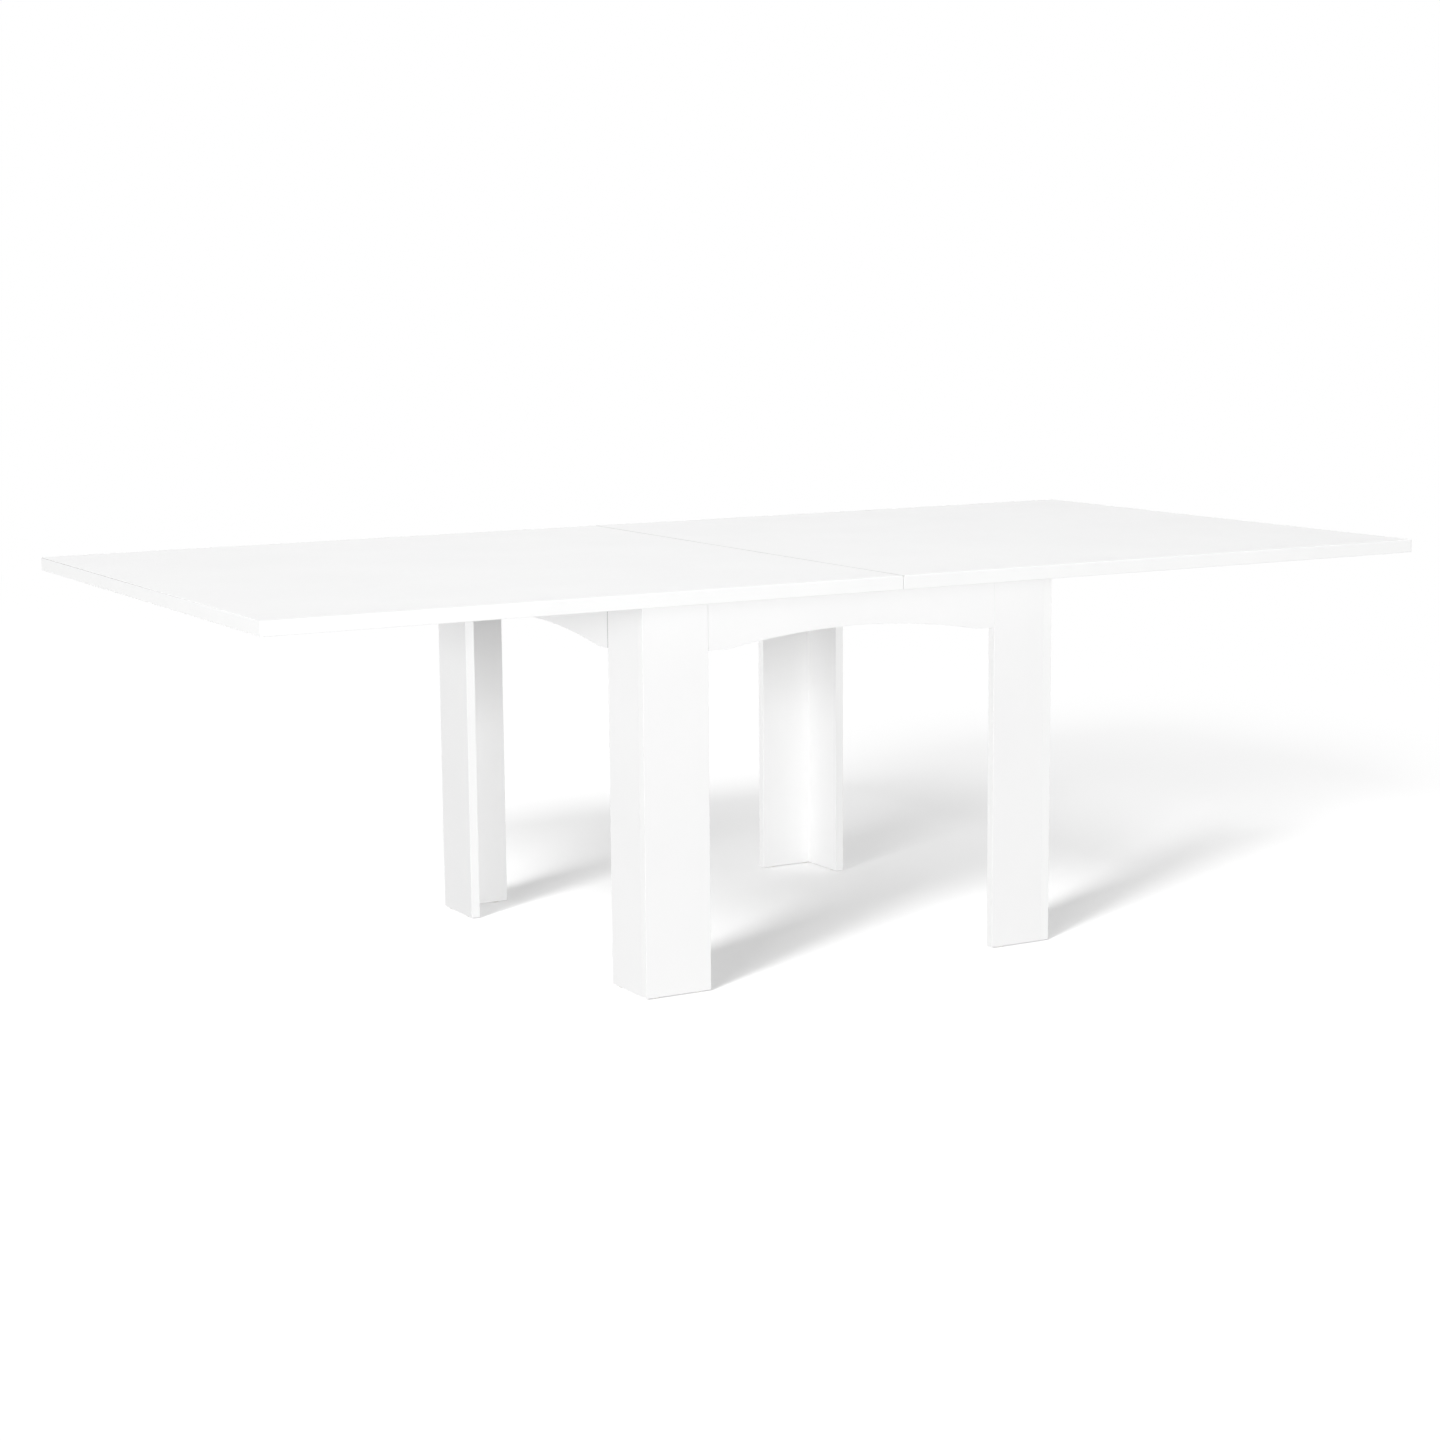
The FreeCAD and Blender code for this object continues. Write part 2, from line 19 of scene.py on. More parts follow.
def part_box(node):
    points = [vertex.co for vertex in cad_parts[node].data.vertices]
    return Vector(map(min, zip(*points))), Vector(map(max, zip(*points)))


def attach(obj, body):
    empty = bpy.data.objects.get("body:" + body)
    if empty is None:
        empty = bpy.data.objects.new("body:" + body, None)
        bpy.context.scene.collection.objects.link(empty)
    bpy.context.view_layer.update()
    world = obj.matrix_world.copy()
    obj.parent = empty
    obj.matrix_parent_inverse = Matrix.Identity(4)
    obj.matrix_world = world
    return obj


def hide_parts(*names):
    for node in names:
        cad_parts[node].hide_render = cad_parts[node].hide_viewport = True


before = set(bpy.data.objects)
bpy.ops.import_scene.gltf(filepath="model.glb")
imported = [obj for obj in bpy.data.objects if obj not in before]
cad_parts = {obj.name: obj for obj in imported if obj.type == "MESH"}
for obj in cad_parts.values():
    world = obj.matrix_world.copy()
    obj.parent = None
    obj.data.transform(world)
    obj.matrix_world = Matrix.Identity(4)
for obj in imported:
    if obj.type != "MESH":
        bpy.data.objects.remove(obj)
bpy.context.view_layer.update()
LOG = logging.getLogger("dining_table")

MM = 0.001
SAME_POINT = 0.001 * MM
Colour = tuple[float, float, float]
Point = tuple[float, float, float]
Sockets = dict[str | int, object]
WHITE = (1.0, 1.0, 1.0, 1.0)


class Axis(Enum):
    """An axis of the shared frame, by its place in a vector."""

    X = 0
    Y = 1
    Z = 2


class Bare(Enum):
    """Which faces of a board were left without melamine."""

    NONE = "none"
    TOPS = "upper ends"
    EDGES = "sawn edges and the walls of cuts"


class Wire:
    """An output socket that takes part in Python arithmetic; each operator adds a Math node."""

    def __init__(self, graph: "Graph", socket: bpy.types.NodeSocket) -> None:
        """Keeps the socket and the graph that it belongs to."""
        self.graph = graph
        self.socket = socket

    def also(self, name: str) -> "Wire":
        """Gives another output of the same node by its name."""
        return Wire(self.graph, self.graph.find(self.socket.node.outputs, name))

    def maths(self, operation: str, other: "Wire | float" = 0.0, clamp: bool = False) -> "Wire":
        """Adds a Math node on this value and another, held between 0 and 1 where clamp says so."""
        return self.graph.maths(operation, self, other, clamp)

    def __add__(self, other: "Wire | float") -> "Wire":
        """Adds two values."""
        return self.maths("ADD", other)

    def __sub__(self, other: "Wire | float") -> "Wire":
        """Takes a value from this one."""
        return self.maths("SUBTRACT", other)

    def __rsub__(self, other: float) -> "Wire":
        """Takes this value from a number."""
        return self.graph.maths("SUBTRACT", other, self)

    def __mul__(self, other: "Wire | float") -> "Wire":
        """Multiplies two values."""
        return self.maths("MULTIPLY", other)

    def __rmul__(self, other: float) -> "Wire":
        """Multiplies a number by this value."""
        return self.graph.maths("MULTIPLY", other, self)

    def __gt__(self, other: "Wire | float") -> "Wire":
        """Gives 1 where this value is the greater."""
        return self.maths("GREATER_THAN", other)

    def __lt__(self, other: "Wire | float") -> "Wire":
        """Gives 1 where this value is the smaller."""
        return self.maths("LESS_THAN", other)


class Graph:
    """Builds a node tree, for a material, the world or Geometry Nodes."""

    noise_low: float = 0.3
    noise_high: float = 0.7

    def __init__(self, tree: bpy.types.NodeTree) -> None:
        """Empties the tree and keeps it."""
        self.tree = tree
        tree.nodes.clear()

    @staticmethod
    def find(sockets: bpy.types.bpy_prop_collection, name: str | int) -> bpy.types.NodeSocket:
        """Finds a socket in use by its name or its number.

        Args:
            sockets: Inputs or outputs of one node.
            name: The socket's name, or its number among all of them.

        Returns:
            The socket.
        """
        if isinstance(name, int):
            return sockets[name]
        for socket in sockets:
            if socket.enabled and name in (socket.name, socket.identifier):
                return socket
        raise KeyError(name)

    def add(
        self, kind: str, sockets: Sockets | None = None, out: str | int = 0, **settings: object
    ) -> Wire | None:
        """Adds any node.

        Args:
            kind: Blender's name for the type of node.
            sockets: Values or links of the inputs, by name or number.
            out: The output to give back, by name or number.
            settings: Properties, set first; "points" fills a float curve.

        Returns:
            The chosen output, or None for a node without outputs.
        """
        node = self.tree.nodes.new(kind)
        for key, value in settings.items():
            if key == "points":
                self.fill_curve(node.mapping, value)
            else:
                setattr(node, key, value)
        for key, value in (sockets or {}).items():
            socket = self.find(node.inputs, key)
            if isinstance(value, Wire):
                self.tree.links.new(value.socket, socket)
            else:
                socket.default_value = value
        return Wire(self, self.find(node.outputs, out)) if len(node.outputs) else None

    @staticmethod
    def fill_curve(mapping: bpy.types.CurveMapping, points: list[tuple[float, float]]) -> None:
        """Sets a float curve's corner points.

        Args:
            mapping: The curve of a new node, with its first two points.
            points: Corners of the curve, in rising order, from 0 to 1.
        """
        curve = mapping.curves[0]
        while len(curve.points) < len(points):
            curve.points.new(0.5, 0.5)
        for point, place in zip(curve.points, points):
            point.location = place
            point.handle_type = "VECTOR"
        mapping.update()

    def maths(
        self, operation: str, first: Wire | float, second: Wire | float = 0.0, clamp: bool = False
    ) -> Wire:
        """Adds a Math node on two values and gives its result."""
        return self.add("ShaderNodeMath", {0: first, 1: second}, operation=operation, use_clamp=clamp)

    def place(self) -> Wire:
        """Gives the Object coordinates, in metres."""
        return self.add("ShaderNodeTexCoord", out="Object")

    def parts(self, vector: Wire) -> tuple[Wire, Wire, Wire]:
        """Splits a vector into its three values."""
        first = self.add("ShaderNodeSeparateXYZ", {"Vector": vector}, "X")
        return first, first.also("Y"), first.also("Z")

    def stretch(self, vector: Wire, scale: Point) -> Wire:
        """Scales coordinates so that a pattern runs long in one direction."""
        return self.add("ShaderNodeMapping", {"Vector": vector, "Scale": scale})

    def noise(self, vector: Wire, scale: float, detail: float = 2.0, rough: float = 0.5) -> Wire:
        """Adds a noise texture, whose scale is in repeats for each metre and whose mean is about 0.5."""
        sockets = {"Vector": vector, "Scale": scale, "Detail": detail, "Roughness": rough}
        return self.add("ShaderNodeTexNoise", sockets, "Fac")

    def cells(self, vector: Wire, scale: float, out: str = "Distance") -> Wire:
        """Adds a cell texture and gives its distance or colour."""
        return self.add("ShaderNodeTexVoronoi", {"Vector": vector, "Scale": scale}, out)

    def blend(self, share: Wire | float, first: Wire | Colour, second: Wire | Colour) -> Wire:
        """Mixes two colours.

        Args:
            share: 0 for the first colour, 1 for the second.
            first: First colour.
            second: Second colour.

        Returns:
            The mixed colour.
        """
        pair = [c if isinstance(c, Wire) else (*c, 1.0) for c in (first, second)]
        sockets = {"Factor": share, "A": pair[0], "B": pair[1]}
        return self.add("ShaderNodeMix", sockets, "Result", data_type="RGBA")

    def shift(self, value: Wire, low: float, high: float) -> Wire:
        """Maps a noise value from its usual range onto a wanted one, and keeps it there.

        Args:
            value: The noise value.
            low: Result at the low end of the usual range.
            high: Result at its high end.

        Returns:
            The mapped value.
        """
        usual = {"Value": value, "From Min": self.noise_low, "From Max": self.noise_high}
        wanted = {"To Min": low, "To Max": high}
        return self.add("ShaderNodeMapRange", usual | wanted, clamp=True)

    @staticmethod
    def layers(first: Wire, second: Wire, share: float) -> Wire:
        """Adds two values, of which the second has the given share."""
        return first * (1.0 - share) + second * share

    def relief(self, height: Wire, depth: float) -> Wire:
        """Turns a height from 0 to 1 into a normal, given the depth in metres that 1 stands for."""
        return self.add("ShaderNodeBump", {"Height": height, "Distance": depth, "Strength": 1.0})


@dataclass(frozen=True)
class Finish:
    """A finish of the table, which gives one procedural material."""

    name: str

    def sockets(self, graph: Graph) -> Sockets:
        """Gives the values and links of the shader's sockets; each finish has its own."""
        raise NotImplementedError

    def material(self) -> bpy.types.Material:
        """Builds the finish.

        Returns:
            A new material with its node tree.
        """
        made = bpy.data.materials.new(self.name)
        made.use_nodes = True
        graph = Graph(made.node_tree)
        shader = graph.add("ShaderNodeBsdfPrincipled", self.sockets(graph))
        graph.add("ShaderNodeOutputMaterial", {"Surface": shader})
        return made


@cache
def material_of(finish: Finish) -> bpy.types.Material:
    """Gives a finish's material, made once."""
    return finish.material()


@dataclass(frozen=True)
class Melamine(Finish):
    """White melamine on chipboard, with the soft grain of its press plate."""

    colour: Colour = (0.896, 0.896, 0.895)
    shade: Colour = (0.874, 0.874, 0.874)
    # Colour of the painted shade in the joint gap at the ends of the side aprons.
    joint: Colour = (0.30, 0.30, 0.295)
    cloud_scale: float = 5.0
    speck_scale: float = 1400.0
    speck_share: float = 0.2
    grain_scale: float = 620.0
    wave_scale: float = 16.0
    wave_share: float = 0.2
    grain_depth: float = 0.05 * MM
    shine_scale: float = 60.0
    rough_low: float = 0.36
    rough_high: float = 0.47
    ior: float = 1.5
    chip_dark: Colour = (0.50, 0.36, 0.22)
    chip_pale: Colour = (0.74, 0.60, 0.42)
    chip_mean: Colour = (0.62, 0.48, 0.31)
    chip_scale: float = 420.0
    fleck_scale: float = 900.0
    chip_rough: float = 0.4
    chip_relief: float = 2.0
    skin: float = 0.06 * MM
    bare: Bare = Bare.NONE
    box: tuple[Point, Point] = ((0.0, 0.0, 0.0), (0.0, 0.0, 0.0))
    joint_shade_from: float = math.inf

    def chips(self, graph: Graph, place: Wire) -> Wire:
        """Gives the colour of raw chipboard.

        Args:
            graph: The material's graph.
            place: Object coordinates.

        Returns:
            Colour of the pressed chips.
        """
        tone = graph.cells(place, self.chip_scale, "Color")
        fleck = graph.noise(place, self.fleck_scale, detail=3.0, rough=0.7)
        chip = graph.blend(fleck, self.chip_dark, self.chip_pale)
        return graph.blend(tone, chip, self.chip_mean)

    def bare_mask(self, graph: Graph, place: Wire) -> Wire:
        """Gives 1 on the faces that have no melamine, found by the board's own box.

        Args:
            graph: The material's graph.
            place: Object coordinates.

        Returns:
            The mask.
        """
        low, high = (corner[Axis.Z.value] for corner in self.box)
        _, _, up = graph.parts(place)
        if self.bare is Bare.TOPS:
            return up > high - self.skin
        return (up > low + self.skin) * (up < high - self.skin)

    def sockets(self, graph: Graph) -> Sockets:
        """Gives the shader's sockets: a faint cloud in the white, a fine grain and a soft gloss.

        Args:
            graph: The material's graph.

        Returns:
            The sockets' values and links.
        """
        place = graph.place()
        cloud = graph.noise(place, self.cloud_scale, detail=3.0, rough=0.55)
        speck = graph.noise(place, self.speck_scale, detail=1.0)
        tone = graph.shift(graph.layers(cloud, speck, self.speck_share), 0.0, 1.0)
        colour = graph.blend(tone, self.colour, self.shade)
        grain = graph.noise(place, self.grain_scale, rough=0.6)
        wave = graph.noise(place, self.wave_scale, detail=1.0)
        shine = graph.noise(place, self.shine_scale, detail=4.0, rough=0.6)
        gloss = graph.shift(shine, self.rough_low, self.rough_high)
        height = graph.layers(grain, wave, self.wave_share)
        # Painted shade: a dark line at the ends of the side aprons, where the joint gap to the legs lies in
        # shade.
        if self.joint_shade_from < math.inf:
            _, run, _ = graph.parts(place)
            colour = graph.blend(run.maths("ABSOLUTE") > self.joint_shade_from, colour, self.joint)
        if self.bare is not Bare.NONE:
            mask = self.bare_mask(graph, place)
            colour = graph.blend(mask, colour, self.chips(graph, place))
            gloss = gloss + mask * self.chip_rough
            height = height + mask * graph.cells(place, self.chip_scale) * self.chip_relief
        return {
            "Base Color": colour,
            "Roughness": gloss,
            "Normal": graph.relief(height, self.grain_depth),
            "IOR": self.ior,
        }


@dataclass(frozen=True)
class Edging(Finish):
    """White plastic edging, drawn out along its length, with a fine dark line below the top of the outer
    ends and painted shade along the seam between the leaves.
    """

    colour: Colour = (0.905, 0.906, 0.903)
    shade: Colour = (0.885, 0.888, 0.886)
    line: Colour = (0.45, 0.45, 0.44)
    # Colour of the painted shade on the top along the seam between the leaves, where the gap's shadow
    # falls.
    painted_seam_shade: Colour = (0.62, 0.62, 0.61)
    end_at: float = 0.0
    painted_seam_reach: float = 0.0
    line_low: float = 0.0
    line_high: float = 0.0
    # The line's painted shade fades out from the back towards the front.
    fade_from: float = 0.45
    fade_run: float = 0.55
    patchy_scale: float = 7.0
    patchy_least: float = 0.6
    cloud_scale: float = 9.0
    streaks: Point = (12.0, 12.0, 1600.0)
    streak_depth: float = 0.02 * MM
    rough_low: float = 0.28
    rough_high: float = 0.40
    ior: float = 1.48

    def sockets(self, graph: Graph) -> Sockets:
        """Gives the shader's sockets: drawn streaks, a satin gloss, the dark line on the outer ends and
        painted shade along the seam.

        Args:
            graph: The material's graph.

        Returns:
            The sockets' values and links.
        """
        place = graph.place()
        streak = graph.noise(graph.stretch(place, self.streaks), 1.0, detail=3.0, rough=0.6)
        cloud = graph.noise(place, self.cloud_scale)
        colour = graph.blend(graph.shift(cloud, 0.0, 1.0), self.colour, self.shade)
        if self.end_at > 0.0:
            across, run, up = graph.parts(place)
            away = across.maths("ABSOLUTE")
            patchy = graph.shift(graph.noise(place, self.patchy_scale), self.patchy_least, 1.0)
            upper = up > self.line_low
            fade = (run + self.fade_from).maths("DIVIDE", self.fade_run, clamp=True)
            outer = (away > self.end_at) * upper * (up < self.line_high)
            # A dark line just below the top of the outer end; its fading out towards the front is painted
            # shade, so that it is strongest at the back, where the end lies in more shade.
            colour = graph.blend(outer * patchy * fade, colour, self.line)
            # Painted shade: the top darkens unevenly within a few millimetres of the seam between the
            # leaves.
            colour = graph.blend((away < self.painted_seam_reach) * upper * patchy, colour, self.painted_seam_shade)
        return {
            "Base Color": colour,
            "Roughness": graph.shift(streak, self.rough_low, self.rough_high),
            "Normal": graph.relief(streak, self.streak_depth),
            "IOR": self.ior,
        }


@dataclass(frozen=True)
class Metal(Finish):
    """Bare or plated metal with fine marks of its making."""

    colour: Colour
    stain: Colour
    rough_low: float
    rough_high: float
    marks: Point = (300.0, 300.0, 300.0)
    mark_depth: float = 0.02 * MM
    patch_scale: float = 45.0
    patch_share: float = 0.4
    spangle_scale: float = 260.0
    spangle_share: float = 0.3

    def sockets(self, graph: Graph) -> Sockets:
        """Gives the shader's sockets: patches in the colour, brushed marks and uneven gloss.

        Args:
            graph: The material's graph.

        Returns:
            The sockets' values and links.
        """
        place = graph.place()
        patch = graph.noise(place, self.patch_scale, detail=4.0, rough=0.6)
        mark = graph.noise(graph.stretch(place, self.marks), 1.0, detail=3.0, rough=0.65)
        spangle = graph.cells(place, self.spangle_scale)
        share = graph.shift(graph.layers(patch, spangle, self.spangle_share), 0.0, 1.0)
        uneven = graph.layers(mark, patch, self.patch_share)
        return {
            "Base Color": graph.blend(share, self.colour, self.stain),
            "Metallic": 1.0,
            "Roughness": graph.shift(uneven, self.rough_low, self.rough_high),
            "Normal": graph.relief(mark, self.mark_depth),
        }


@dataclass(frozen=True)
class Nylon(Finish):
    """Moulded off-white nylon with a fine spark-eroded grain."""

    colour: Colour = (0.74, 0.735, 0.70)
    scuff: Colour = (0.60, 0.59, 0.56)
    scuff_scale: float = 210.0
    scuff_most: float = 0.8
    grain_scale: float = 2600.0
    grain_depth: float = 0.03 * MM
    rough_low: float = 0.42
    rough_high: float = 0.62
    ior: float = 1.53

    def sockets(self, graph: Graph) -> Sockets:
        """Gives the shader's sockets: grain, with darker scuffs.

        Args:
            graph: The material's graph.

        Returns:
            The sockets' values and links.
        """
        place = graph.place()
        grain = graph.noise(place, self.grain_scale, rough=0.6)
        scuff = graph.noise(place, self.scuff_scale, detail=4.0, rough=0.7)
        return {
            "Base Color": graph.blend(graph.shift(scuff, 0.0, self.scuff_most), self.colour, self.scuff),
            "Roughness": graph.shift(grain, self.rough_low, self.rough_high),
            "Normal": graph.relief(grain, self.grain_depth),
            "IOR": self.ior,
        }


@dataclass(frozen=True)
class Felt(Finish):
    """Pressed grey felt, a mat of short fibres."""

    colour: Colour = (0.34, 0.34, 0.335)
    fleck: Colour = (0.56, 0.56, 0.55)
    along: Point = (700.0, 2600.0, 2600.0)
    across: Point = (2600.0, 700.0, 2600.0)
    nap_depth: float = 0.3 * MM
    rough_low: float = 0.86
    rough_high: float = 0.98
    sheen: float = 0.35
    sheen_rough: float = 0.6

    def sockets(self, graph: Graph) -> Sockets:
        """Gives the shader's sockets: crossed fibres in the colour and the relief.

        Args:
            graph: The material's graph.

        Returns:
            The sockets' values and links.
        """
        place = graph.place()
        along, across = (
            graph.noise(graph.stretch(place, run), 1.0, detail=3.0, rough=0.7)
            for run in (self.along, self.across)
        )
        fibre = along.maths("MAXIMUM", across)
        return {
            "Base Color": graph.blend(graph.shift(fibre, 0.0, 1.0), self.colour, self.fleck),
            "Roughness": graph.shift(fibre, self.rough_low, self.rough_high),
            "Normal": graph.relief(fibre, self.nap_depth),
            "Sheen Weight": self.sheen,
            "Sheen Roughness": self.sheen_rough,
        }


@dataclass(frozen=True)
class Beech(Finish):
    """Steamed beech of the dowels, with short dark flecks."""

    colour: Colour = (0.66, 0.46, 0.29)
    fleck: Colour = (0.42, 0.25, 0.14)
    bands: Point = (420.0, 420.0, 160.0)
    rays: Point = (900.0, 900.0, 250.0)
    ray_share: float = 0.4
    fleck_most: float = 0.9
    grain_depth: float = 0.06 * MM
    rough_low: float = 0.55
    rough_high: float = 0.72

    def sockets(self, graph: Graph) -> Sockets:
        """Gives the shader's sockets: growth bands and ray flecks.

        Args:
            graph: The material's graph.

        Returns:
            The sockets' values and links.
        """
        place = graph.place()
        band = graph.noise(graph.stretch(place, self.bands), 1.0, detail=4.0, rough=0.6)
        ray = graph.cells(graph.stretch(place, self.rays), 1.0)
        share = graph.shift(graph.layers(band, ray, self.ray_share), 0.0, self.fleck_most)
        return {
            "Base Color": graph.blend(share, self.colour, self.fleck),
            "Roughness": graph.shift(band, self.rough_low, self.rough_high),
            "Normal": graph.relief(band, self.grain_depth),
        }


ZINC = Metal("zinc_plate", (0.66, 0.67, 0.69), (0.56, 0.57, 0.60), 0.27, 0.44)
BRASS = Metal("turned_brass", (0.79, 0.58, 0.27), (0.66, 0.45, 0.19), 0.22, 0.36, (90.0, 1200.0, 1200.0))
GROUND = Metal("ground_steel", (0.60, 0.60, 0.61), (0.50, 0.50, 0.51), 0.24, 0.38, (1500.0, 80.0, 1500.0))
NYLON = Nylon("white_nylon")
FELT = Felt("grey_felt")
BEECH = Beech("beech")
BOARD = Melamine("white_melamine")
BAND = Edging("white_edging")


@dataclass(frozen=True)
class Island:
    """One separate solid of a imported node, by its box, in metres."""

    low: Vector
    high: Vector
    heavy_end: int
    axis: Axis

    @property
    def size(self) -> Vector:
        """Gives the sides of the box."""
        return self.high - self.low

    @property
    def length(self) -> float:
        """Gives the length along the solid's own axis."""
        return self.size[self.axis.value]

    @property
    def radius(self) -> float:
        """Gives half of the larger side across the axis."""
        return max(self.size[i] for i in range(3) if i != self.axis.value) / 2

    def narrow_end(self) -> Vector:
        """Finds the narrow end.

        Returns:
            The middle of that end.
        """
        middle = (self.low + self.high) / 2
        middle[self.axis.value] = (self.low if self.heavy_end > 0 else self.high)[self.axis.value]
        return middle

    def outward(self) -> Vector:
        """Finds the way from the narrow end to the wide one.

        Returns:
            The direction, along one axis.
        """
        direction = Vector((0.0, 0.0, 0.0))
        direction[self.axis.value] = float(self.heavy_end)
        return direction


class Islands:
    """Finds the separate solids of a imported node."""

    def __init__(self, node: str) -> None:
        """Copies the node's mesh and merges its loose triangles.

        Args:
            node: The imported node.
        """
        self.mesh = bmesh.new()
        self.mesh.from_mesh(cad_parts[node].data)
        bmesh.ops.remove_doubles(self.mesh, verts=self.mesh.verts, dist=SAME_POINT)

    def groups(self) -> list[list[Vector]]:
        """Collects the points of each connected part.

        Returns:
            One list of points for each part, in the mesh's own order.
        """
        seen: set[int] = set()
        found = []
        for start in self.mesh.verts:
            if start.index in seen:
                continue
            seen.add(start.index)
            waiting, points = [start], []
            while waiting:
                vert = waiting.pop()
                points.append(vert.co.copy())
                for edge in vert.link_edges:
                    other = edge.other_vert(vert)
                    if other.index not in seen:
                        seen.add(other.index)
                        waiting.append(other)
            found.append(points)
        return found

    @staticmethod
    def measure(points: list[Vector], axis: Axis | None) -> Island:
        """Measures one part.

        Args:
            points: The part's points.
            axis: Its own axis, or None for its longest side.

        Returns:
            The part's box, axis and wide end.
        """
        low = Vector([min(p[i] for p in points) for i in range(3)])
        high = Vector([max(p[i] for p in points) for i in range(3)])
        size = high - low
        own = axis or Axis(max(range(3), key=lambda i: size[i]))
        middle = (low + high) / 2
        across = [i for i in range(3) if i != own.value]
        reach = {-1: 0.0, 1: 0.0}
        for p in points:
            side = 1 if p[own.value] > middle[own.value] else -1
            reach[side] = max(reach[side], math.hypot(*((p - middle)[i] for i in across)))
        return Island(low, high, 1 if reach[1] >= reach[-1] else -1, own)

    def all(self, axis: Axis | None = None) -> list[Island]:
        """Measures every part.

        Args:
            axis: Axis of all parts, or None for each part's longest side.

        Returns:
            The measured parts.
        """
        self.mesh.verts.ensure_lookup_table()
        self.mesh.verts.index_update()
        found = [self.measure(points, axis) for points in self.groups()]
        self.mesh.free()
        return found


@dataclass(frozen=True)
class Corner:
    """A point of a turned outline, as shares of the largest radius and of the length."""

    radius: float
    height: float
    lobed: float = 0.0


@dataclass(frozen=True)
class Outline:
    """The outline of a turned part, from its lower end to its upper one."""

    corners: tuple[Corner, ...]
    segments: int
    lobes: int = 0
    lobe_depth: float = 0.0


class TurnedTree:
    """A Geometry Nodes tree that turns an outline and sets a copy on every point."""

    sharp_from: float = 32.0
    kinds: dict[str, str] = {
        "Geometry": "Geometry",
        "Radius": "Float",
        "Length": "Float",
        "Segments": "Int",
        "Lobes": "Int",
        "Lobe Depth": "Float",
        "Finish": "Material",
    }

    def __init__(self, name: str, outline: Outline) -> None:
        """Builds the tree.

        Args:
            name: The tree's name.
            outline: The outline that it turns.
        """
        self.outline = outline
        self.tree = bpy.data.node_groups.new(name, "GeometryNodeTree")
        self.graph = Graph(self.tree)
        self.inputs: dict[str, str] = {}
        for label, kind in self.kinds.items():
            socket = self.tree.interface.new_socket(label, in_out="INPUT", socket_type="NodeSocket" + kind)
            self.inputs[label] = socket.identifier
        self.tree.interface.new_socket("Geometry", in_out="OUTPUT", socket_type="NodeSocketGeometry")
        self.given = self.graph.add("NodeGroupInput", out="Geometry")
        self.build()

    def curve(self, share: Wire, values: list[float]) -> Wire:
        """Reads one number of the outline's corners along its length.

        Args:
            share: Place along the outline, from 0 to 1.
            values: The number at each corner.

        Returns:
            The number at that place.
        """
        last = len(values) - 1
        points = [(i / last, value) for i, value in enumerate(values)]
        return self.graph.add("ShaderNodeFloatCurve", {"Value": share}, points=points)

    def turned(self) -> Wire:
        """Makes the turned part.

        Returns:
            Its geometry, upright on the origin.
        """
        graph, corners = self.graph, self.outline.corners
        around = self.given.also("Segments") + 1.0
        sizes = {"Size X": 1.0, "Size Y": 1.0, "Vertices X": len(corners), "Vertices Y": around}
        sheet = graph.add("GeometryNodeMeshGrid", sizes, "Mesh")
        across, up, _ = graph.parts(graph.add("GeometryNodeInputPosition"))
        share = 0.5 - across
        angle = (up + 0.5) * math.tau
        lobe = 0.5 - 0.5 * (angle * self.given.also("Lobes")).maths("COSINE")
        cut = self.curve(share, [c.lobed for c in corners]) * self.given.also("Lobe Depth") * lobe
        reach = self.curve(share, [c.radius for c in corners]) * (1.0 - cut) * self.given.also("Radius")
        height = self.curve(share, [c.height for c in corners]) * self.given.also("Length")
        spot = graph.add(
            "ShaderNodeCombineXYZ",
            {"X": reach * angle.maths("COSINE"), "Y": reach * angle.maths("SINE"), "Z": height},
        )
        moved = graph.add("GeometryNodeSetPosition", {"Geometry": sheet, "Position": spot})
        return graph.add("GeometryNodeMergeByDistance", {"Geometry": moved, "Distance": 2 * SAME_POINT})

    def build(self) -> None:
        """Sets the turned part on every point, along the point's direction, and ends the tree."""
        graph = self.graph
        pointing = graph.add(
            "GeometryNodeInputNamedAttribute", {"Name": "direction"}, "Attribute", data_type="FLOAT_VECTOR"
        )
        turn = graph.add("FunctionNodeAlignRotationToVector", {"Vector": pointing}, axis="Z")
        copies = graph.add(
            "GeometryNodeInstanceOnPoints",
            {"Points": self.given, "Instance": self.turned(), "Rotation": turn},
        )
        real = graph.add("GeometryNodeRealizeInstances", {"Geometry": copies})
        finish = self.given.also("Finish")
        dressed = graph.add("GeometryNodeSetMaterial", {"Geometry": real, "Material": finish})
        graph.add("NodeGroupOutput", {"Geometry": dressed})

    def bake(
        self, name: str, seats: list[tuple[Vector, Vector]], radius: float, length: float, finish: Finish
    ) -> bpy.types.Mesh:
        """Runs the tree on a set of seats and keeps the result as a plain mesh.

        Args:
            name: The mesh's name.
            seats: Place of each copy's lower end and the direction that it points in.
            radius: Largest radius of a copy.
            length: Length of a copy.
            finish: The finish of all copies.

        Returns:
            The finished mesh.
        """
        points = bpy.data.meshes.new(name + "_seats")
        points.from_pydata([spot for spot, _ in seats], [], [])
        headings = points.attributes.new("direction", "FLOAT_VECTOR", "POINT")
        for item, (_, direction) in zip(headings.data, seats):
            item.vector = direction
        holder = bpy.data.objects.new(name + "_seats", points)
        bpy.context.scene.collection.objects.link(holder)
        modifier = holder.modifiers.new("turned", "NODES")
        modifier.node_group = self.tree
        values = {
            "Radius": radius,
            "Length": length,
            "Segments": self.outline.segments,
            "Lobes": self.outline.lobes,
            "Lobe Depth": self.outline.lobe_depth,
            "Finish": material_of(finish),
        }
        for label, value in values.items():
            modifier[self.inputs[label]] = value
        graph = bpy.context.evaluated_depsgraph_get()
        mesh = bpy.data.meshes.new_from_object(holder.evaluated_get(graph))
        bpy.data.objects.remove(holder)
        mesh.name = name
        crease(mesh, self.sharp_from)
        return mesh


